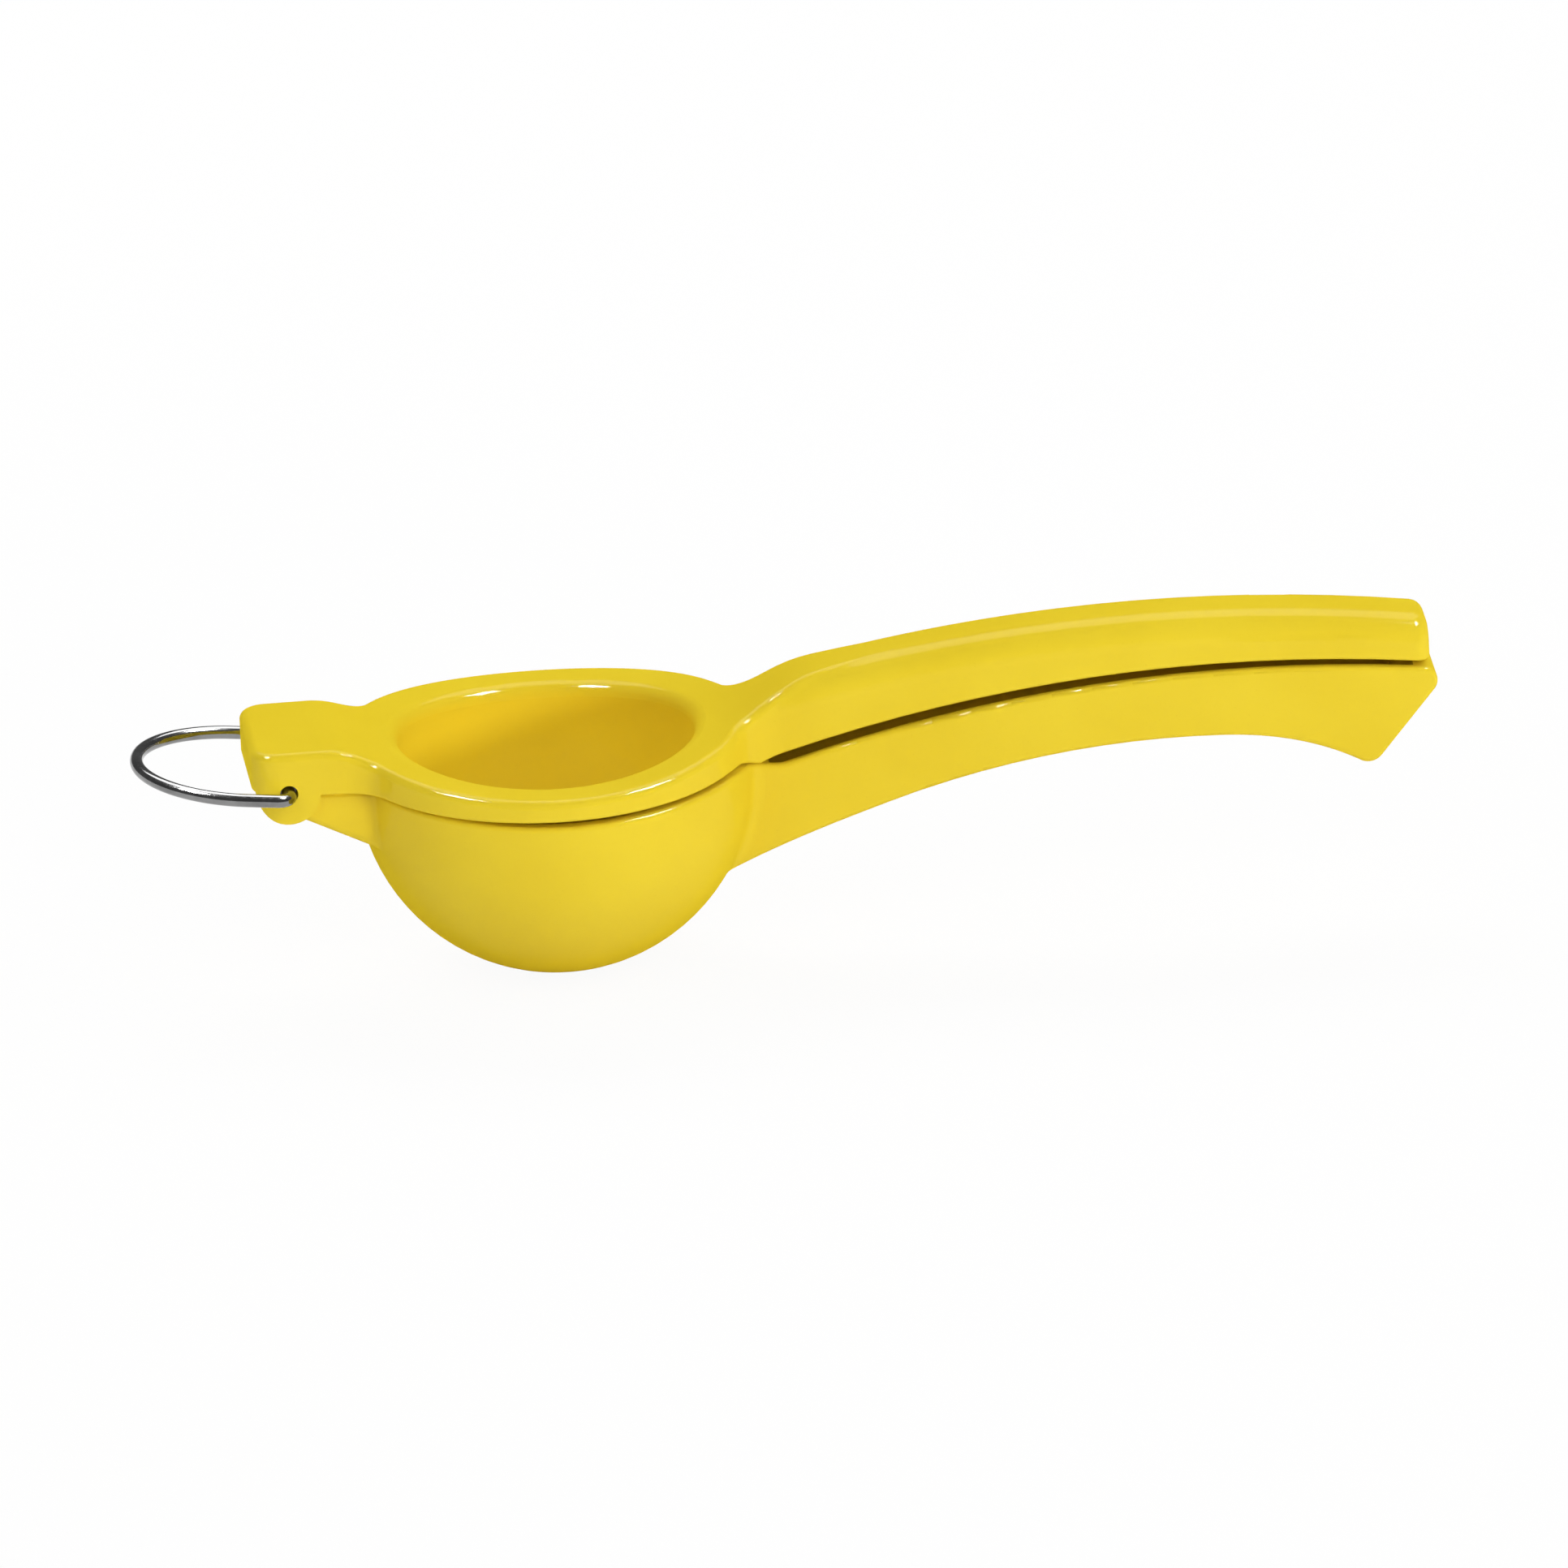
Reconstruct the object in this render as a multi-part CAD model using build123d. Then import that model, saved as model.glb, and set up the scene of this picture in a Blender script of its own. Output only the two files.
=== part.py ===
from build123d import *
import math
import os

# Two-lever hand citrus squeezer, closed, in millimetres.
# Origin: centre of the small flat under the bowl. +X runs to the grips, +Y across, +Z up.
# The pieces are drawn about the rim's axis and moved back by rim_set_back as they are written.
# Each value ending in "beyond" is a distance along X, outwards from the rim's outer circle.
# Each value ending in "inset" is measured inwards from the face or circle that it follows.

# Bowl of the lower lever
bowl_radius = 34.75
bowl_wall = 3.2
bowl_lip_height = 2.2
base_flat_depth = 0.5
drain_count = 6
drain_radius = 1.8
drain_circle_radius = 8.6

# Rim and press cup of the upper lever
rim_overhang = 0.35
rim_set_back = 1.25
rim_band = 3.8
rim_land = 6.7
rim_saddle_inset = 6.1
rim_saddle_rise = 2.2
parting_rise = 0.6
cup_lip_round = 2.4
cup_wall = 3.0
press_gap = 7.5

# Gaps between the closed levers: round the bowl, over the arm, at the neck and along the grips
closed_gap = 1.2
arm_gap = 0.5
neck_gap = 0.66
stop_gap = 0.3
grip_start_gap = 2.1
grip_gap = 1.65
grip_end_gap = 0.8

# Hinge: block and ears on the upper lever, arm and tongue on the lower lever
hinge_beyond = 11.4
hinge_drop = 2.3
block_end_beyond = 17.6
block_flat_beyond = 5.4
block_width = 28.6
block_rise = 5.0
block_corner_round = 4.6
block_neck_round = 7.0
ear_radius = 5.55
ear_thickness = 5.6
ear_gap = 0.3
knuckle_radius = 4.6
swing_gap = 0.35
arm_width = 24.0
arm_root_inset = 9.1
arm_slope_deg = 26.7
arm_edge_round = 1.5
arm_blend_round = 1.4

# Hinge pin and the wire bail
pin_radius = 1.55
pin_seat_clearance = 0.02
pin_running_clearance = 0.06
pin_end_inset = 2.9
wire_radius = 1.16
wire_end_inset = 2.3
wire_bend_radius = 2.4
ring_half_width = 17.9
ring_reach = 25.4
ring_tilt_deg = 6.0

# Neck and grip of the upper lever
grip_width = 15.2
grip_wall = 3.0
grip_side_wall = 1.5
grip_end_beyond = 119.8
crest_beyond = 71.4
crest_rise = 15.55
crest_radius = 306.0
crest_room = 0.05
shoulder_round = 4.8
grip_end_round = 2.7
neck_blend_round = 9.0
neck_split_room = 0.11
neck_corner_room = 0.3
neck_crown_half = 2.4
neck_taper_deg = 32.5
ramp_end_beyond = 11.4
ramp_end_slope_deg = 14.0
channel_beyond = 6.2
lower_channel_beyond = 3.2
underside_start_room = 0.28
underside_start_drop = 5.2
underside_start_slope_deg = 16.0
underside_mid_beyond = 67.5
underside_mid_rise = 6.2
underside_end_rise = 4.0

# Belly and tail of the lower grip
grip_root_deg = 29.5
grip_root_inset = 6.5
grip_root_slope_deg = 28.0
belly_beyond = 74.8
belly_drop = 6.6
belly_radius = 167.5
grip_split_beyond = 24.9
tail_start_beyond = 82.9
tail_beyond = 108.9
tail_drop = 14.6
tail_slope_deg = 33.0
tail_face_slope_deg = 49.8
tail_round = 3.0
tip_round = 2.65
grip_blend_round = 3.0

# Roundings along edges, shares that tell level faces from upright ones, and how far cutters run past
rim_edge_round = 1.4
parting_edge_round = 0.6
bowl_edge_round = 0.8
bowl_inner_round = 0.6
level_share = 0.6
upright_share = 0.35
overrun = 3.0

# Places along X worked out from the sizes above
rim_radius = bowl_radius + rim_overhang
saddle_reach = rim_radius - rim_saddle_inset
hinge_reach = rim_radius + hinge_beyond
block_end_reach = rim_radius + block_end_beyond
block_flat_reach = rim_radius + block_flat_beyond
arm_root_reach = rim_radius - arm_root_inset
ramp_end_reach = rim_radius + ramp_end_beyond
channel_reach = rim_radius + channel_beyond
lower_channel_reach = rim_radius + lower_channel_beyond
grip_end_reach = rim_radius + grip_end_beyond
grip_root_reach = rim_set_back + bowl_radius * math.cos(math.radians(grip_root_deg))
grip_split_reach = rim_radius + grip_split_beyond
tail_start_reach = rim_radius + tail_start_beyond
tail_reach = rim_radius + tail_beyond

# Heights, half widths and slopes worked out from the sizes above
bowl_centre_height = bowl_radius - base_flat_depth
bowl_edge_height = bowl_centre_height + bowl_lip_height
bowl_floor_height = bowl_wall - base_flat_depth
rim_under = bowl_edge_height + closed_gap
rim_top = rim_under + rim_band
roof = rim_top + crest_rise + overrun
hinge_height = rim_top - hinge_drop
grip_root_height = bowl_centre_height - bowl_radius * math.sin(math.radians(grip_root_deg))
knuckle_foot = hinge_height - knuckle_radius
saddle_radius = (saddle_reach**2 + rim_saddle_rise**2) / (2 * rim_saddle_rise)
saddle_slope_deg = math.degrees(math.asin(saddle_reach / saddle_radius))
parting_radius = (rim_radius**2 + parting_rise**2) / (2 * parting_rise)
parting_slope_deg = math.degrees(math.asin(saddle_reach / parting_radius))
neck_angle = math.radians(neck_taper_deg)
neck_foot_half = neck_crown_half + ramp_end_reach * math.tan(neck_angle)
neck_offset = neck_foot_half * math.cos(neck_angle)
grip_half = grip_width / 2
blend_reach = ramp_end_reach - (grip_half - neck_crown_half) / math.tan(neck_angle)
blend_start_reach = blend_reach - neck_blend_round * math.tan(neck_angle / 2) * math.cos(neck_angle)
neck_split_reach = blend_start_reach - neck_split_room
neck_corner_reach = neck_split_reach - neck_corner_room
neck_run = (neck_corner_reach - neck_offset * math.sin(neck_angle)) / math.cos(neck_angle)
neck_round = (neck_run**2 + neck_offset**2 - rim_radius**2) / (2 * (rim_radius - neck_offset))
block_half = block_width / 2
arm_half = arm_width / 2
ear_inner = block_half - ear_thickness
tongue_half = ear_inner - ear_gap
cup_radius = rim_radius - rim_land
cup_hollow_radius = cup_radius - cup_lip_round
cup_outer_radius = cup_hollow_radius + cup_wall
cup_centre_height = bowl_floor_height + press_gap + cup_outer_radius
underside_start = (blend_start_reach + underside_start_room, rim_top - underside_start_drop)
underside_mid = (rim_radius + underside_mid_beyond, rim_top + underside_mid_rise)
underside_end = (grip_end_reach, rim_top + underside_end_rise)
grip_root_drop = grip_root_inset * math.tan(math.radians(grip_root_slope_deg))
belly_start = (grip_root_reach - grip_root_inset, grip_root_height - grip_root_drop)
grip_top_end = (grip_end_reach - tip_round, underside_end[1] - grip_end_gap)
grip_top_mid = (underside_mid[0], underside_mid[1] - grip_gap)


def circle_through(first, middle, last):
    """Circle through three points of the side view, as its centre reach, centre height and radius."""
    (x1, z1), (x2, z2), (x3, z3) = first, middle, last
    slant_a = (x2**2 - x1**2 + z2**2 - z1**2) / 2
    slant_b = (x3**2 - x2**2 + z3**2 - z2**2) / 2
    cross = (x2 - x1) * (z3 - z2) - (x3 - x2) * (z2 - z1)
    centre_x = (slant_a * (z3 - z2) - slant_b * (z2 - z1)) / cross
    centre_z = (slant_b * (x2 - x1) - slant_a * (x3 - x2)) / cross
    return (centre_x, centre_z, math.hypot(x1 - centre_x, z1 - centre_z))


def arc_point(circle, reach):
    """Point on the upper side of a circle of the side view, at this reach."""
    centre_reach, centre_height, radius = circle
    return (reach, centre_height + math.sqrt(radius**2 - (reach - centre_reach) ** 2))


def arc_between(circle, start_reach, end_reach):
    """Arc on the upper side of a circle of the side view, from one reach to another."""
    middle = arc_point(circle, (start_reach + end_reach) / 2)
    return ThreePointArc(arc_point(circle, start_reach), middle, arc_point(circle, end_reach))


def arc_slope_deg(circle, reach):
    """Slope, in degrees, of the upper side of a circle of the side view at this reach."""
    return math.degrees(math.asin((circle[0] - reach) / circle[2]))


crest_circle = (rim_radius + crest_beyond, rim_top + crest_rise - crest_radius, crest_radius)
crest_room_circle = (crest_circle[0], crest_circle[1], crest_radius + crest_room)
belly_circle = (rim_radius + belly_beyond, rim_top - belly_drop - belly_radius, belly_radius)
channel_floor_circle = (belly_circle[0], belly_circle[1], belly_radius + grip_wall)
channel_roof_circle = (crest_circle[0], crest_circle[1], crest_radius - grip_wall)
underside_circle = circle_through(underside_start, underside_mid, underside_end)
grip_top_start = (channel_reach, arc_point(underside_circle, channel_reach)[1] - grip_start_gap)
grip_top_circle = circle_through(grip_top_start, grip_top_mid, grip_top_end)


def parting_point(reach, gap):
    """Point this gap below the upper lever's underside, round the rim and the hinge block."""
    return (reach, rim_under + parting_radius - math.sqrt(parting_radius**2 - reach**2) - gap)


def slope_vector(degrees):
    """Direction in the side view that climbs by this angle towards the grips."""
    return (math.cos(math.radians(degrees)), math.sin(math.radians(degrees)))


def slab(outline, low_y, high_y):
    """Solid with this outline in the side view, from one side to the other."""
    return extrude(Plane.XZ.offset(-high_y) * make_face(outline), amount=high_y - low_y)


def closed_outline(curves, *corners):
    """Curves of the side view, closed by straight lines through these corners back to their start."""
    ends = [curves[-1] @ 1, *[Vector(*corner) for corner in corners], curves[0] @ 0]
    return [*curves, *[Line(start, end) for start, end in zip(ends, ends[1:])]]


def upright_faces(solid):
    """Faces whose outward direction at their middle is close to level."""
    return [face for face in solid.faces() if abs(face.normal_at(face.center()).Z) < upright_share]


def top_faces(solid):
    """Faces that look up at their middle."""
    return [face for face in solid.faces() if face.normal_at(face.center()).Z > level_share]


def bottom_faces(solid):
    """Faces that look down at their middle."""
    return [face for face in solid.faces() if face.normal_at(face.center()).Z < -level_share]


def round_walls(solid, radius):
    """Straight round faces of this radius."""
    walls = [face for face in solid.faces().filter_by(GeomType.CYLINDER) if face.radius]
    return [face for face in walls if math.isclose(face.radius, radius)]


def edges_between(first_faces, second_faces):
    """Edges that a face of the first group shares with a face of the second group."""
    second_edges = {hash(edge) for face in second_faces for edge in face.edges()}
    first_edges = {hash(edge): edge for face in first_faces for edge in face.edges()}
    return [edge for key, edge in first_edges.items() if key in second_edges]


def cross_rod(radius, low_y, high_y):
    """Round rod along the hinge axis, from one side to the other."""
    middle = (low_y + high_y) / 2
    return Pos(-hinge_reach, middle, hinge_height) * Rot(90, 0, 0) * Cylinder(radius, high_y - low_y)


def round_cup(radius, centre_height, top_height):
    """Cup-shaped solid round Z: half a ball below its centre height, a straight wall up to its top."""
    outline = [
        CenterArc((0, centre_height), radius, -90, 90),
        Line((radius, centre_height), (radius, top_height)),
        Line((radius, top_height), (0, top_height)),
        Line((0, top_height), (0, centre_height - radius)),
    ]
    return revolve(Plane.XZ * make_face(outline), axis=Axis.Z)


def upper_plan():
    """Plan of the upper lever's rim, hinge block and tapering neck, with its inside corners rounded."""
    block = Pos(-block_end_reach / 2, 0) * Rectangle(block_end_reach, block_width)
    neck = make_face(
        Polyline(
            (0, -neck_foot_half),
            (ramp_end_reach, -neck_crown_half),
            (ramp_end_reach, neck_crown_half),
            (0, neck_foot_half),
            close=True,
        )
    )
    plan = Circle(rim_radius) + block + neck
    plan = fillet(plan.vertices().group_by(Axis.X)[-2], neck_round)
    plan = fillet(plan.vertices().group_by(Axis.X)[1], block_neck_round)
    return fillet(plan.vertices().group_by(Axis.X)[0], block_corner_round)


def plan_part(plan, low_reach, high_reach):
    """Upright prism of the plan between two distances from the rim's axis."""
    window = Rectangle(high_reach - low_reach, 2 * rim_radius + overrun)
    return extrude(plan & Pos((low_reach + high_reach) / 2, 0) * window, amount=roof)


def rim_and_block(plan):
    """Saddle-topped rim with the hinge block, without its cup."""
    saddle_left = (-saddle_reach, rim_top + rim_saddle_rise)
    saddle_right = (saddle_reach, rim_top + rim_saddle_rise)
    block_top = rim_top + block_rise
    block_end = -block_end_reach - overrun
    block_under = parting_point(block_end, 0)
    top = [
        Line((block_end, block_top), (-block_flat_reach, block_top)),
        Spline(
            (-block_flat_reach, block_top),
            saddle_left,
            tangents=[slope_vector(0), slope_vector(-saddle_slope_deg)],
        ),
        ThreePointArc(saddle_left, (0, rim_top), saddle_right),
        Line(saddle_right, parting_point(saddle_reach, 0)),
        ThreePointArc(parting_point(saddle_reach, 0), (0, rim_under), parting_point(-saddle_reach, 0)),
        ThreePointArc(parting_point(-saddle_reach, 0), parting_point(-hinge_reach, 0), block_under),
    ]
    side_view = slab(closed_outline(top), -rim_radius - overrun, rim_radius + overrun)
    return plan_part(plan, block_end, saddle_reach) & side_view


def upper_grip_outline():
    """Side view of the upper grip with its neck, with a little room above the crest."""
    start = parting_point(saddle_reach, 0)
    directions = [slope_vector(parting_slope_deg), slope_vector(-underside_start_slope_deg)]
    curves = [
        Spline(start, underside_start, tangents=directions),
        ThreePointArc(underside_start, underside_mid, underside_end),
        Line(underside_end, arc_point(crest_room_circle, grip_end_reach)),
        arc_between(crest_room_circle, grip_end_reach, saddle_reach),
    ]
    return closed_outline(curves)


def blended_neck():
    """Long bar with one rounded shoulder and a tall wedge beside it, blended along their corner."""
    floor = rim_under - 2 * overrun
    end = grip_end_reach + overrun
    wedge_back = grip_width + overrun
    wedge_end = ramp_end_reach + (neck_crown_half + wedge_back) / math.tan(neck_angle)
    bar_outline = closed_outline([arc_between(crest_circle, 0, end)], (end, floor), (0, floor))
    bar = slab(bar_outline, -grip_width, grip_half)
    crown = bar.faces().sort_by(Axis.Z)[-1]
    bar = fillet(crown.edges().filter_by(GeomType.CIRCLE).sort_by(Axis.Y)[-1], shoulder_round)
    wedge_plan = Polyline(
        (0, -wedge_back),
        (0, neck_foot_half),
        (wedge_end, -wedge_back),
        close=True,
    )
    wedge = extrude(Pos(0, 0, floor) * make_face(wedge_plan), amount=2 * (crest_rise + grip_width))
    both = bar + wedge
    corner = [edge for edge in both.edges() if neck_split_reach < edge.center().X < wedge_end]
    corner = [edge for edge in corner if -grip_half < edge.center().Y < grip_width]
    corner = [edge for edge in corner if floor + overrun < edge.center().Z < rim_top + crest_rise - overrun]
    return fillet(corner, neck_blend_round)


def upper_grip():
    """Neck and grip of the upper lever with rounded shoulders and a rounded end."""
    half = blended_neck() & slab(upper_grip_outline(), 0, rim_radius)
    grip = half + mirror(half, about=Plane.XZ)
    end_face = grip.faces().sort_by(Axis.X)[-1]
    return fillet(end_face.edges().sort_by(Axis.Z)[1:], grip_end_round)


def ramp_cutter():
    """Everything above the ramp between the rim and the upper grip's crest."""
    start = (saddle_reach, rim_top + rim_saddle_rise)
    end = arc_point(crest_circle, ramp_end_reach)
    run_out = overrun / math.tan(math.radians(ramp_end_slope_deg))
    run_out_end = (ramp_end_reach + run_out, end[1] + overrun)
    back = saddle_reach - overrun
    curves = [
        Spline(start, end, tangents=[slope_vector(saddle_slope_deg), slope_vector(ramp_end_slope_deg)]),
        Line(end, run_out_end),
    ]
    outline = closed_outline(curves, (run_out_end[0], roof), (back, roof), (back, start[1]))
    return slab(outline, -rim_radius - overrun, rim_radius + overrun)


def upper_body(plan):
    """Rim, hinge block, neck and grip in one piece, with their outer edges rounded."""
    side_view = slab(upper_grip_outline(), -rim_radius, rim_radius)
    neck_foot = plan_part(plan, saddle_reach, neck_split_reach) & side_view
    body = rim_and_block(plan) + neck_foot + upper_grip() - ramp_cutter()
    tops = [face for face in top_faces(body) if face.center().X < ramp_end_reach]
    body = fillet(edges_between(tops, upright_faces(body)), rim_edge_round)
    ridge = [edge for edge in body.edges() if abs(edge.center().X - underside_start[0]) < stop_gap]
    ridge = [edge for edge in ridge if edge.center().Z < rim_under and edge.length > grip_wall]
    return fillet(edges_between(bottom_faces(body), upright_faces(body)) + ridge, parting_edge_round)


def ears(plan):
    """Two round ears that hang from the hinge block's sides and follow its plan."""
    discs = cross_rod(ear_radius, -block_half, block_half)
    discs = discs - cross_rod(ear_radius + overrun, -ear_inner, ear_inner)
    return plan_part(plan, -block_end_reach - overrun, 0) & discs


def upper_channel():
    """Hollow of the upper grip, open underneath."""
    floor = underside_start[1] - overrun
    end = grip_end_reach - grip_wall
    channel_roof = arc_between(channel_roof_circle, channel_reach, end)
    outline = closed_outline([channel_roof], (end, floor), (channel_reach, floor))
    return slab(outline, grip_side_wall - grip_half, grip_half - grip_side_wall)


def make_upper_lever():
    """Casting with the rim, press cup, hinge block with ears, and upper grip."""
    plan = upper_plan()
    cup_outer = round_cup(cup_outer_radius, cup_centre_height, rim_top - rim_band / 2)
    cup_hollow = round_cup(cup_hollow_radius, cup_centre_height, roof)
    lever = upper_body(plan) + cup_outer - cup_hollow
    lip = edges_between(top_faces(lever), round_walls(lever, cup_hollow_radius))
    lever = fillet(lip, cup_lip_round) + ears(plan)
    knuckle_room = cross_rod(knuckle_radius + swing_gap, -ear_inner, ear_inner)
    pin_room = cross_rod(pin_radius + pin_running_clearance, -block_half - overrun, block_half + overrun)
    return lever - knuckle_room - pin_room - upper_channel()


def lower_top_cutter():
    """Everything above the lower lever's upper edge: arm, bowl, closing stop and the start of the grip."""
    arm_end = -hinge_reach - overrun
    grip_end = grip_split_reach + overrun
    arm_mid = parting_point((arm_end - saddle_reach) / 2, arm_gap)
    arm_root = parting_point(-saddle_reach, arm_gap)
    bowl_low = (0, bowl_edge_height)
    neck_start = parting_point(saddle_reach, neck_gap)
    stop = (underside_start[0], underside_start[1] - stop_gap)
    grip_slope = slope_vector(arc_slope_deg(grip_top_circle, channel_reach))
    curves = [
        ThreePointArc(parting_point(arm_end, arm_gap), arm_mid, arm_root),
        Spline(arm_root, bowl_low, tangents=[slope_vector(-parting_slope_deg), slope_vector(0)]),
        Spline(bowl_low, neck_start, tangents=[slope_vector(0), slope_vector(parting_slope_deg)]),
        Spline(neck_start, stop, grip_top_start, tangents=[slope_vector(parting_slope_deg), grip_slope]),
        arc_between(grip_top_circle, channel_reach, grip_end),
    ]
    outline = closed_outline(curves, (grip_end, roof + overrun), (arm_end, roof + overrun))
    return slab(outline, -bowl_radius - overrun, bowl_radius + overrun)


def root_edges(body):
    """Edges where the bowl's skin meets what grows out of it."""
    skin = [*body.faces().filter_by(GeomType.SPHERE), *round_walls(body, bowl_radius)]
    others = [face for face in body.faces() if face not in skin and face not in top_faces(body)]
    return edges_between(skin, others)


def lower_front():
    """Bowl, hinge arm and the start of the lower grip, blended together and cut along their upper edge."""
    bowl = Pos(rim_set_back, 0, 0) * round_cup(bowl_radius, bowl_centre_height, roof)
    belly_end = arc_point(belly_circle, grip_split_reach)
    belly_end_slope_deg = arc_slope_deg(belly_circle, grip_split_reach)
    belly_ends = [slope_vector(grip_root_slope_deg), slope_vector(belly_end_slope_deg)]
    belly = Spline(belly_start, belly_end, tangents=belly_ends)
    grip_outline = closed_outline([belly], (grip_split_reach, roof), (belly_start[0], roof))
    grip = slab(grip_outline, -grip_half, grip_half)
    belly_face = grip.faces().sort_by(Axis.Z)[0]
    grip = fillet(belly_face.edges().filter_by(Axis.Y, reverse=True), bowl_edge_round)
    arm_drop = (hinge_reach - arm_root_reach) * math.tan(math.radians(arm_slope_deg))
    arm_line = Line((-hinge_reach, knuckle_foot), (-arm_root_reach, knuckle_foot - arm_drop))
    arm_outline = closed_outline([arm_line], (-arm_root_reach, roof), (-hinge_reach, roof))
    arm = slab(arm_outline, -arm_half, arm_half)
    arm_under = arm.faces().sort_by(Axis.Z)[0]
    arm = fillet([edge for edge in arm_under.edges() if abs(edge.center().Y) > tongue_half], arm_edge_round)
    body = bowl + grip
    body = fillet(root_edges(body), grip_blend_round)
    body = body + arm
    body = fillet([edge for edge in root_edges(body) if edge.center().X < 0], arm_blend_round)
    body = body - lower_top_cutter()
    sides = [face for face in upright_faces(body) if -hinge_reach < face.center().X < grip_split_reach]
    return fillet(edges_between(top_faces(body), sides), bowl_edge_round)


def lower_rear():
    """Rest of the lower grip: belly arc, drooping tail and slanted end face, rounded along its edges."""
    belly_end = arc_point(belly_circle, tail_start_reach)
    belly_slope_deg = arc_slope_deg(belly_circle, tail_start_reach)
    tail = (tail_reach, rim_top - tail_drop)
    tip_run = (grip_top_end[1] - tail[1]) / math.tan(math.radians(tail_face_slope_deg))
    tip = (tail_reach + tip_run, grip_top_end[1])
    curves = [
        arc_between(belly_circle, grip_split_reach, tail_start_reach),
        Spline(belly_end, tail, tangents=[slope_vector(belly_slope_deg), slope_vector(-tail_slope_deg)]),
        Line(tail, tip),
        Line(tip, grip_top_end),
        arc_between(grip_top_circle, grip_top_end[0], grip_split_reach),
    ]
    side_view = make_face(closed_outline(curves))
    side_view = fillet(side_view.vertices().group_by(Axis.X)[-1], tip_round)
    side_view = fillet(side_view.vertices().sort_by_distance(tail)[0], tail_round)
    grip = extrude(Plane.XZ.offset(-grip_half) * side_view, amount=grip_width)
    sides = [grip.faces().sort_by(Axis.Y)[0], grip.faces().sort_by(Axis.Y)[-1]]
    long_faces = [face for face in grip.faces() if face.center().X > grip_split_reach + overrun]
    long_faces = [face for face in long_faces if face not in sides]
    return fillet(edges_between(sides, long_faces), bowl_edge_round)


def lower_channel():
    """Hollow of the lower grip, open on top, with an end wall that leans like the tail's face."""
    floor = arc_between(channel_floor_circle, lower_channel_reach, tail_start_reach)
    floor_height = (floor @ 1).Y
    top_end = (grip_end_reach - grip_wall, grip_top_end[1])
    lean = (top_end[1] - floor_height) / math.tan(math.radians(tail_face_slope_deg))
    floor_end = (top_end[0] - lean, floor_height)
    outline = closed_outline([floor], floor_end, top_end, (top_end[0], roof), (lower_channel_reach, roof))
    return slab(outline, grip_side_wall - grip_half, grip_half - grip_side_wall)


def make_lower_lever():
    """Casting with the bowl, hinge arm with tongue, and lower grip."""
    hollow_radius = bowl_radius - bowl_wall
    base_cut = Pos(rim_set_back, 0, -overrun) * Box(bowl_radius, bowl_radius, 2 * overrun)
    hollow = Pos(rim_set_back, 0, 0) * round_cup(hollow_radius, bowl_centre_height, roof)
    lever = lower_front() + lower_rear() - hollow - lower_channel() - base_cut
    lever = fillet(edges_between(top_faces(lever), round_walls(lever, hollow_radius)), bowl_inner_round)
    ear_room = cross_rod(ear_radius + swing_gap, tongue_half, block_half)
    lever = lever - ear_room - mirror(ear_room, about=Plane.XZ)
    lever = lever + cross_rod(knuckle_radius, -tongue_half, tongue_half)
    drain = Pos(drain_circle_radius, 0, 0) * Cylinder(drain_radius, bowl_radius)
    pin_seat = cross_rod(pin_radius + pin_seat_clearance, -block_half, block_half)
    drains = Pos(rim_set_back, 0, 0) * PolarLocations(0, drain_count) * drain
    return lever - drains - pin_seat


def make_hinge_pin():
    """Plain pin through the ears and the tongue, short of the ears' outer faces."""
    half_length = block_half - pin_end_inset
    return cross_rod(pin_radius, -half_length, half_length)


def make_hanging_ring():
    """Bent wire bail with both ends turned into the ear bores."""
    end_half = block_half - wire_end_inset
    bow_reach = ring_reach - ring_half_width
    leg = FilletPolyline(
        (0, -end_half), (0, -ring_half_width), (-bow_reach, -ring_half_width), radius=wire_bend_radius
    )
    bow = ThreePointArc((-bow_reach, -ring_half_width), (-ring_reach, 0), (-bow_reach, ring_half_width))
    path = Wire([*leg.edges(), *bow.edges(), *mirror(leg, about=Plane.XZ).edges()])
    start = Plane(origin=(0, -end_half, 0), z_dir=(0, 1, 0))
    wire = sweep(start * Circle(wire_radius), path=path)
    return Pos(-hinge_reach, 0, hinge_height) * Rot(0, ring_tilt_deg, 0) * wire


os.makedirs("parts", exist_ok=True)
for node, piece in {
    "lower_lever": make_lower_lever(),
    "upper_lever": make_upper_lever(),
    "hinge_pin": make_hinge_pin(),
    "hanging_ring": make_hanging_ring(),
}.items():
    export_step(Pos(-rim_set_back, 0, 0) * piece, f"parts/{node}.step")
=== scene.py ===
"""Looks of the two-lever citrus squeezer: enamel, wire and pin finishes, studio light and camera."""

import logging
import math
from dataclasses import dataclass, field
from enum import Enum

import bpy
from mathutils import Matrix, Vector


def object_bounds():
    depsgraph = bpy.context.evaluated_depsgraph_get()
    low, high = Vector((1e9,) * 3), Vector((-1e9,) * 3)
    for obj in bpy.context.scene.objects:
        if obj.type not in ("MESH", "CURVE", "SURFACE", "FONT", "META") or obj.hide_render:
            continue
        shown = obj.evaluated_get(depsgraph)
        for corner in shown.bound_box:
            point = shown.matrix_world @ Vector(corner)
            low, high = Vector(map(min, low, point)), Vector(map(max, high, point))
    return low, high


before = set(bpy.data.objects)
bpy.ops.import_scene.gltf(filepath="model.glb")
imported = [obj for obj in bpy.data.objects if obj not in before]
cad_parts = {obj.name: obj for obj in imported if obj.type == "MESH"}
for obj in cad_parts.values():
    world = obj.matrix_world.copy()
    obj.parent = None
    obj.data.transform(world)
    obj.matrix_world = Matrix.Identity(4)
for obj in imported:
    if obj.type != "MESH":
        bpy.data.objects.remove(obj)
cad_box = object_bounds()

log = logging.getLogger("squeezer")

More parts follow.
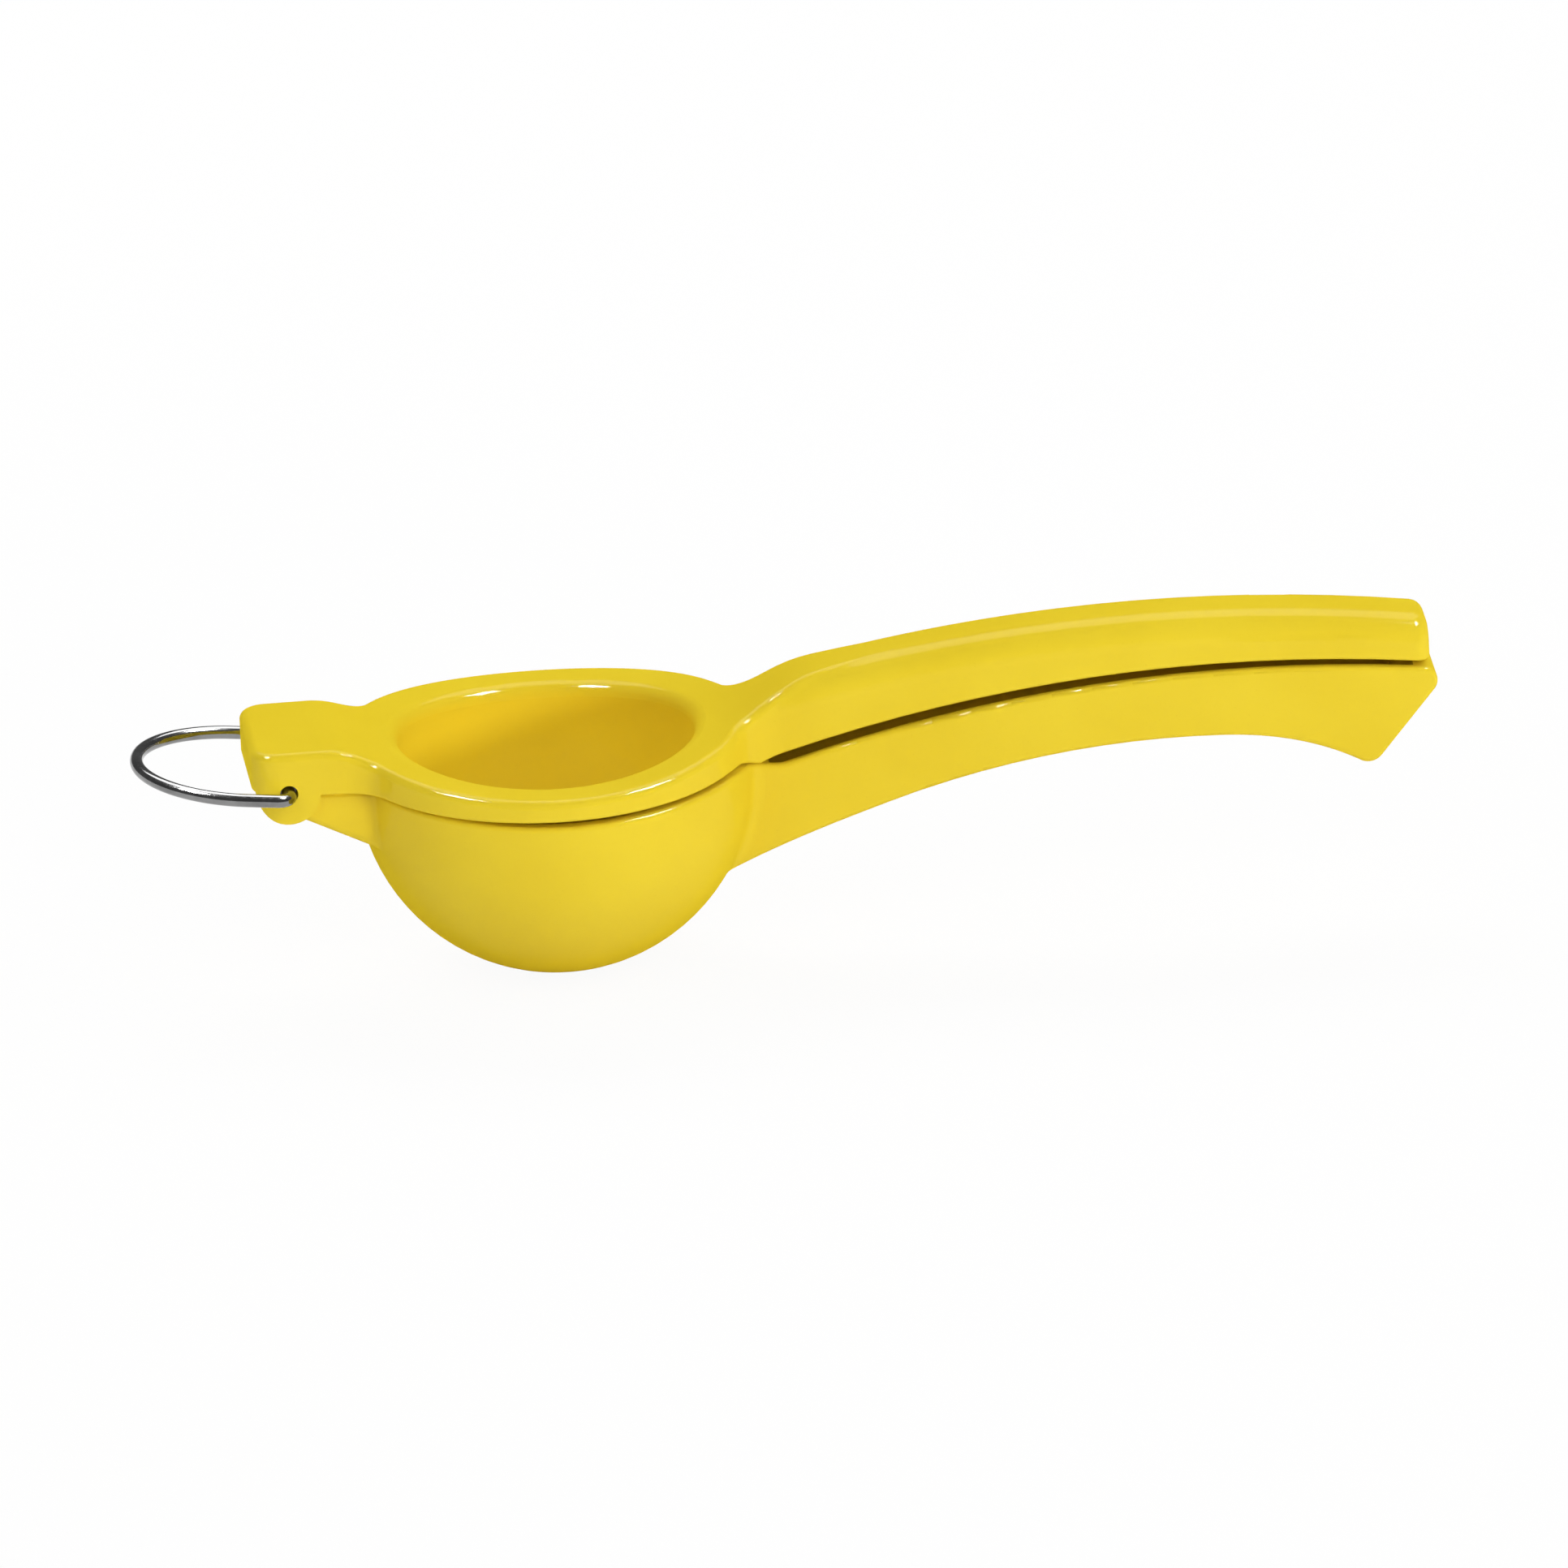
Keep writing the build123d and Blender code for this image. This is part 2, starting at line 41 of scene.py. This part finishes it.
Colour = tuple[float, float, float]
Point = tuple[float, float, float]
Span = tuple[float, float]
Socket = bpy.types.NodeSocket

# Octaves of a noise pattern, the values that most of it lies between, and a span from none to all
SMOOTH = 1.0
UNEVEN = 2.0
DETAILED = 3.0
NOISE_MIDDLE: Span = (0.30, 0.70)
NONE_TO_ALL: Span = (0.0, 1.0)


class Grain(Enum):
    """Direction in which a metal's fine marks run, as stretch factors along X, Y and Z."""

    EVEN = (1.0, 1.0, 1.0)
    ROUND_THE_PIN = (1.0, 14.0, 1.0)


class Seen(Enum):
    """Which of the two a lamp gives: soft light, or its image in a gloss."""

    LIGHT_ONLY = "light only"
    REFLECTIONS_ONLY = "reflections only"


class Graph:
    """Node tree of one material or world, with short calls to add and join nodes."""

    def __init__(self, tree: bpy.types.NodeTree) -> None:
        """Empty the tree and keep it.

        Args:
            tree: The node tree to fill.
        """
        self.tree = tree
        tree.nodes.clear()

    def add(self, kind: str, **values: object) -> bpy.types.Node:
        """Add a node and set its properties or unlinked inputs.

        Args:
            kind: Blender's class name of the node.
            values: Properties, or inputs written with underscores for spaces.

        Returns:
            The new node.
        """
        node = self.tree.nodes.new(kind)
        for name, value in values.items():
            if hasattr(node, name):
                setattr(node, name, value)
            else:
                node.inputs[name.replace("_", " ")].default_value = value
        return node

    def join(self, source: Socket, target: Socket) -> None:
        """Link one socket to another.

        Args:
            source: Output that the link starts at.
            target: Input that it feeds.
        """
        self.tree.links.new(source, target)

    def noise(self, place: Socket, scale: float, detail: float, roughness: float = 0.5) -> Socket:
        """Add a noise pattern.

        Args:
            place: Coordinates that the pattern follows, in metres.
            scale: Pattern cells per metre.
            detail: Octaves of finer pattern.
            roughness: Strength of the finer octaves.

        Returns:
            The pattern's value, from 0 to 1.
        """
        node = self.add("ShaderNodeTexNoise", Scale=scale, Detail=detail, Roughness=roughness)
        self.join(place, node.inputs["Vector"])
        return node.outputs["Fac"]

    def spread(self, value: Socket, source: Span, target: Span) -> Socket:
        """Map a span of values onto another, held at its ends.

        Args:
            value: The value to map.
            source: Values that become the ends of the target.
            target: Results at the ends of the source.

        Returns:
            The mapped value.
        """
        node = self.add("ShaderNodeMapRange")
        self.join(value, node.inputs["Value"])
        names = ("From Min", "From Max", "To Min", "To Max")
        for name, number in zip(names, (*source, *target)):
            node.inputs[name].default_value = number
        return node.outputs["Result"]

    def blend(self, share: Socket, first: Colour | Socket, second: Colour) -> Socket:
        """Mix two colours by a share.

        Args:
            share: 0 gives the first colour and 1 the second.
            first: A colour or a socket that carries one.
            second: The other colour.

        Returns:
            The mixed colour.
        """
        node = self.add("ShaderNodeMix", data_type="RGBA")
        colours = [socket for socket in node.inputs if socket.type == "RGBA"]
        self.join(share, node.inputs["Factor"])
        if isinstance(first, Socket):
            self.join(first, colours[0])
        else:
            colours[0].default_value = (*first, 1.0)
        colours[1].default_value = (*second, 1.0)
        return next(socket for socket in node.outputs if socket.type == "RGBA")

    def bump(self, height: Socket, depth: float, below: Socket | None = None) -> Socket:
        """Turn a height pattern into a surface relief.

        Args:
            height: The pattern, from 0 to 1.
            depth: Depth of the relief in metres.
            below: A coarser relief that this one sits on.

        Returns:
            The relief's normal.
        """
        node = self.add("ShaderNodeBump", Strength=1.0, Distance=depth)
        self.join(height, node.inputs["Height"])
        if below is not None:
            self.join(below, node.inputs["Normal"])
        return node.outputs["Normal"]


@dataclass(frozen=True)
class EnamelFinish:
    """Fired gloss enamel over a casting: thick, slightly wavy, a little deeper where it pooled.

    The gloss coat's weight goes from its first value, face on, to its second, edge on.
    """

    name: str = "yellow_enamel_gloss"
    thick_colour: Colour = (0.800, 0.590, 0.025)
    thin_colour: Colour = (0.840, 0.635, 0.031)
    fleck_colour: Colour = (0.700, 0.490, 0.018)
    pool_scale: float = 38.0
    wave_scale: float = 260.0
    wave_depth: float = 0.000006
    peel_scale: float = 1500.0
    peel_depth: float = 0.0000006
    fleck_scale: float = 2600.0
    fleck_span: Span = (0.70, 0.80)
    fleck_share: float = 0.30
    haze_step: float = 6.0
    gloss: Span = (0.17, 0.24)
    body_ior: float = 1.45
    coat_facing: Span = (0.35, 0.70)
    coat_weight: Span = (0.24, 0.0)
    coat_roughness: float = 0.06
    coat_ior: float = 1.50

    def make(self) -> bpy.types.Material:
        """Build the material.

        Returns:
            The enamel material.
        """
        material = bpy.data.materials.new(self.name)
        material.use_nodes = True
        graph = Graph(material.node_tree)
        place = graph.add("ShaderNodeTexCoord").outputs["Object"]
        pool = graph.spread(graph.noise(place, self.pool_scale, UNEVEN), NOISE_MIDDLE, NONE_TO_ALL)
        body = graph.blend(pool, self.thick_colour, self.thin_colour)
        specks = graph.noise(place, self.fleck_scale, SMOOTH)
        flecks = graph.spread(specks, self.fleck_span, (0.0, self.fleck_share))
        colour = graph.blend(flecks, body, self.fleck_colour)
        wave = graph.bump(graph.noise(place, self.wave_scale, SMOOTH), self.wave_depth)
        relief = graph.bump(graph.noise(place, self.peel_scale, UNEVEN), self.peel_depth, wave)
        patches = graph.noise(place, self.wave_scale / self.haze_step, DETAILED)
        haze = graph.spread(patches, NOISE_MIDDLE, self.gloss)
        shader = graph.add("ShaderNodeBsdfPrincipled", Metallic=0.0, IOR=self.body_ior)
        shader.inputs["Specular IOR Level"].default_value = 0.0
        facing = graph.add("ShaderNodeLayerWeight", Blend=0.5).outputs["Facing"]
        coat = graph.spread(facing, self.coat_facing, self.coat_weight)
        graph.join(coat, shader.inputs["Coat Weight"])
        shader.inputs["Coat Roughness"].default_value = self.coat_roughness
        shader.inputs["Coat IOR"].default_value = self.coat_ior
        graph.join(colour, shader.inputs["Base Color"])
        graph.join(haze, shader.inputs["Roughness"])
        graph.join(relief, shader.inputs["Normal"])
        graph.join(relief, shader.inputs["Coat Normal"])
        output = graph.add("ShaderNodeOutputMaterial")
        graph.join(shader.outputs["BSDF"], output.inputs["Surface"])
        return material


@dataclass(frozen=True)
class MetalFinish:
    """Bare or plated metal with fine marks, faint stains and a soft change of gloss."""

    name: str
    bright_colour: Colour
    dull_colour: Colour
    roughness: Span
    mark_scale: float
    mark_depth: float
    grain: Grain = Grain.EVEN
    mark_harshness: float = 0.6
    stain_scale: float = 240.0
    stain_span: Span = (0.40, 0.75)

    def make(self) -> bpy.types.Material:
        """Build the material.

        Returns:
            The metal material.
        """
        material = bpy.data.materials.new(self.name)
        material.use_nodes = True
        graph = Graph(material.node_tree)
        coordinates = graph.add("ShaderNodeTexCoord").outputs["Object"]
        mapping = graph.add("ShaderNodeMapping", vector_type="POINT")
        mapping.inputs["Scale"].default_value = self.grain.value
        graph.join(coordinates, mapping.inputs["Vector"])
        place = mapping.outputs["Vector"]
        stain = graph.noise(coordinates, self.stain_scale, DETAILED)
        stained = graph.spread(stain, self.stain_span, NONE_TO_ALL)
        colour = graph.blend(stained, self.bright_colour, self.dull_colour)
        marks = graph.noise(place, self.mark_scale, DETAILED, self.mark_harshness)
        haze = graph.spread(marks, NOISE_MIDDLE, self.roughness)
        relief = graph.bump(marks, self.mark_depth)
        shader = graph.add("ShaderNodeBsdfPrincipled", Metallic=1.0)
        graph.join(colour, shader.inputs["Base Color"])
        graph.join(haze, shader.inputs["Roughness"])
        graph.join(relief, shader.inputs["Normal"])
        output = graph.add("ShaderNodeOutputMaterial")
        graph.join(shader.outputs["BSDF"], output.inputs["Surface"])
        return material


@dataclass
class Levers:
    """The two enamelled castings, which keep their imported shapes."""

    nodes: tuple[str, str] = ("lower_lever", "upper_lever")
    finish: EnamelFinish = field(default_factory=EnamelFinish)

    def dress(self) -> None:
        """Give both castings the enamel."""
        enamel = self.finish.make()
        for name in self.nodes:
            put_on(name, enamel)


@dataclass
class HingePin:
    """The plain pin inside the ears and the tongue."""

    node: str = "hinge_pin"
    finish: MetalFinish = MetalFinish(
        name="drawn_pin_steel",
        bright_colour=(0.52, 0.52, 0.53),
        dull_colour=(0.36, 0.35, 0.34),
        roughness=(0.26, 0.42),
        mark_scale=900.0,
        mark_depth=0.000004,
        grain=Grain.ROUND_THE_PIN,
    )

    def dress(self) -> None:
        """Give the pin its drawn steel."""
        put_on(self.node, self.finish.make())


@dataclass
class HangingRing:
    """The bent wire bail."""

    node: str = "hanging_ring"
    finish: MetalFinish = MetalFinish(
        name="bright_plated_wire",
        bright_colour=(0.28, 0.28, 0.28),
        dull_colour=(0.18, 0.18, 0.18),
        roughness=(0.10, 0.18),
        mark_scale=1500.0,
        mark_depth=0.0000012,
    )

    def dress(self) -> None:
        """Give the wire its bright plating."""
        put_on(self.node, self.finish.make())


def put_on(node: str, material: bpy.types.Material) -> None:
    """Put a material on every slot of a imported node.

    Args:
        node: Name of the node.
        material: Material for it.
    """
    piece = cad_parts[node]
    for slot in piece.material_slots:
        slot.material = material
    log.info("%s wears %s", node, material.name)


@dataclass(frozen=True)
class PhotoView:
    """Long-lens camera at the photograph's angle, in a square frame."""

    azimuth_deg: float = -5.0
    elevation_deg: float = 19.8
    roll_deg: float = 2.58
    frame_px: float = 1932.0
    px_per_m: float = 7060.0
    anchor: Point = (-0.00035, 0.0, 0.04145)
    anchor_px: tuple[float, float] = (679.0, 905.5)
    lens_mm: float = 1200.0
    sensor_mm: float = 36.0
    clip_near: float = 1.0
    clip_far: float = 60.0

    def direction(self) -> Vector:
        """Point from the object to the camera.

        Returns:
            The direction, as a unit vector.
        """
        return aim(self.azimuth_deg, self.elevation_deg)

    def build(self) -> bpy.types.Object:
        """Place the camera so that the anchor point falls on its pixel.

        Returns:
            The camera object.
        """
        back = self.direction()
        level = Vector((0, 0, 1)).cross(back).normalized()
        turn = Matrix.Rotation(math.radians(-self.roll_deg), 3, back)
        right = turn @ level
        up = back.cross(right)
        half = self.frame_px / 2
        shift = right * (half - self.anchor_px[0]) - up * (half - self.anchor_px[1])
        target = Vector(self.anchor) + shift / self.px_per_m
        distance = self.lens_mm / self.sensor_mm * self.frame_px / self.px_per_m
        bpy.ops.object.select_all(action="DESELECT")
        bpy.ops.object.camera_add(location=target + back * distance)
        camera = bpy.context.object
        camera.name = "photo_camera"
        camera.rotation_euler = Matrix((right, up, back)).transposed().to_euler()
        camera.data.lens = self.lens_mm
        camera.data.sensor_width = self.sensor_mm
        camera.data.clip_start = self.clip_near
        camera.data.clip_end = self.clip_far
        bpy.context.scene.camera = camera
        log.info("camera stands %.2f m away", distance)
        return camera


def aim(azimuth_deg: float, elevation_deg: float) -> Vector:
    """Unit vector from the object towards a place round it.

    Args:
        azimuth_deg: 0 is the front, and positive turns towards the grips.
        elevation_deg: Height above the level.

    Returns:
        The direction.
    """
    azimuth, elevation = math.radians(azimuth_deg), math.radians(elevation_deg)
    flat = math.cos(elevation)
    return Vector((math.sin(azimuth) * flat, -math.cos(azimuth) * flat, math.sin(elevation)))


@dataclass(frozen=True)
class Lamp:
    """One soft box. Its level is the brightness that it would give a white surface facing it."""

    name: str
    azimuth_deg: float
    elevation_deg: float
    distance: float
    width: float
    height: float
    level: float
    seen: Seen

    def build(self, middle: Vector) -> bpy.types.Object:
        """Hang the lamp and point it at the object.

        Args:
            middle: Point that the lamp faces.

        Returns:
            The lamp object.
        """
        towards = aim(self.azimuth_deg, self.elevation_deg)
        bpy.ops.object.select_all(action="DESELECT")
        bpy.ops.object.light_add(type="AREA", location=middle + towards * self.distance)
        lamp = bpy.context.object
        lamp.name = self.name
        lamp.rotation_euler = towards.to_track_quat("Z", "Y").to_euler()
        lamp.data.shape = "RECTANGLE"
        lamp.data.size = self.width
        lamp.data.size_y = self.height
        lamp.data.energy = self.level * (math.pi * self.distance) ** 2
        lamp.visible_glossy = self.seen is Seen.REFLECTIONS_ONLY
        lamp.visible_diffuse = self.seen is Seen.LIGHT_ONLY
        log.info("%s at level %.2f", self.name, self.level)
        return lamp


@dataclass(frozen=True)
class Studio:
    """Pale floor, soft boxes and a dim room."""

    floor_size: float = 6.0
    floor_colour: Colour = (0.93, 0.93, 0.92)
    backdrop_share: float = 0.94
    room_strength: Span = (0.14, 0.12)
    room_fade: Span = (0.0, 0.6)
    lamps: tuple[Lamp, ...] = (
        Lamp("key_box", 31.0, 9.5, 1.8, 0.36, 0.20, 0.31, Seen.LIGHT_ONLY),
        Lamp("front_right_box", 30.0, 36.0, 1.8, 1.2, 1.0, 0.22, Seen.LIGHT_ONLY),
        Lamp("front_left_box", -30.0, 36.0, 1.8, 1.2, 1.0, 0.18, Seen.LIGHT_ONLY),
        Lamp("left_box", -90.0, 36.0, 1.8, 1.2, 1.0, 0.17, Seen.LIGHT_ONLY),
        Lamp("right_box", 90.0, 36.0, 1.8, 1.2, 1.0, 0.21, Seen.LIGHT_ONLY),
        Lamp("back_left_box", -150.0, 36.0, 1.8, 1.2, 1.0, 0.20, Seen.LIGHT_ONLY),
        Lamp("back_top_box", 175.0, 50.0, 1.6, 1.4, 0.7, 0.42, Seen.LIGHT_ONLY),
        Lamp("overhead_glint", 175.0, 62.0, 1.6, 1.8, 1.3, 1.15, Seen.REFLECTIONS_ONLY),
        Lamp("right_glint", 75.0, 60.0, 1.8, 0.50, 0.50, 3.0, Seen.REFLECTIONS_ONLY),
        Lamp("left_glint", -75.0, 60.0, 1.8, 0.50, 0.50, 3.0, Seen.REFLECTIONS_ONLY),
    )

    def floor_material(self) -> bpy.types.Material:
        """White sweep: pale card for light, and near white where the camera or a gloss looks at it.

        Returns:
            The floor's material.
        """
        material = bpy.data.materials.new("white_sweep")
        material.use_nodes = True
        graph = Graph(material.node_tree)
        path = graph.add("ShaderNodeLightPath")
        sharp = graph.add("ShaderNodeMath", operation="MAXIMUM")
        graph.join(path.outputs["Is Camera Ray"], sharp.inputs[0])
        graph.join(path.outputs["Is Glossy Ray"], sharp.inputs[1])
        looked_at = graph.add("ShaderNodeMath", operation="MAXIMUM")
        graph.join(sharp.outputs[0], looked_at.inputs[0])
        graph.join(path.outputs["Is Transmission Ray"], looked_at.inputs[1])
        share = graph.add("ShaderNodeMath", operation="MULTIPLY")
        share.inputs[1].default_value = self.backdrop_share
        graph.join(looked_at.outputs[0], share.inputs[0])
        card = graph.add("ShaderNodeBsdfDiffuse", Color=(*self.floor_colour, 1.0))
        white = graph.add("ShaderNodeEmission", Color=(1.0, 1.0, 1.0, 1.0), Strength=1.0)
        mixed = graph.add("ShaderNodeMixShader")
        graph.join(share.outputs[0], mixed.inputs["Fac"])
        graph.join(card.outputs["BSDF"], mixed.inputs[1])
        graph.join(white.outputs["Emission"], mixed.inputs[2])
        output = graph.add("ShaderNodeOutputMaterial")
        graph.join(mixed.outputs["Shader"], output.inputs["Surface"])
        return material

    def build_floor(self) -> bpy.types.Object:
        """Lay the floor just under the bowl.

        Returns:
            The floor object.
        """
        bpy.ops.object.select_all(action="DESELECT")
        bpy.ops.mesh.primitive_plane_add(size=self.floor_size, location=(0, 0, cad_box[0].z))
        floor = bpy.context.object
        floor.name = "studio_floor"
        bpy.ops.object.transform_apply(location=True, rotation=True, scale=True)
        floor.data.materials.append(self.floor_material())
        return floor

    def build_room(self) -> None:
        """Fill the world with a dim room, a little lighter towards the level."""
        world = bpy.data.worlds.new("dim_room")
        world.use_nodes = True
        graph = Graph(world.node_tree)
        height = graph.add("ShaderNodeSeparateXYZ")
        graph.join(graph.add("ShaderNodeTexCoord").outputs["Generated"], height.inputs["Vector"])
        level = graph.spread(height.outputs["Z"], self.room_fade, self.room_strength)
        sky = graph.add("ShaderNodeBackground", Color=(1.0, 1.0, 1.0, 1.0))
        graph.join(level, sky.inputs["Strength"])
        output = graph.add("ShaderNodeOutputWorld")
        graph.join(sky.outputs["Background"], output.inputs["Surface"])
        bpy.context.scene.world = world

    def build(self) -> None:
        """Set up the floor, the room and the lamps."""
        middle = (cad_box[0] + cad_box[1]) / 2
        self.build_floor()
        self.build_room()
        for lamp in self.lamps:
            lamp.build(middle)


def main() -> None:
    """Dress every piece, then set up the studio and the camera."""
    logging.basicConfig(level=logging.INFO, format="%(name)s: %(message)s")
    for piece in (Levers(), HingePin(), HangingRing()):
        piece.dress()
    Studio().build()
    PhotoView().build()
    bpy.context.scene.view_settings.view_transform = "Standard"


if __name__ == "__main__":
    main()
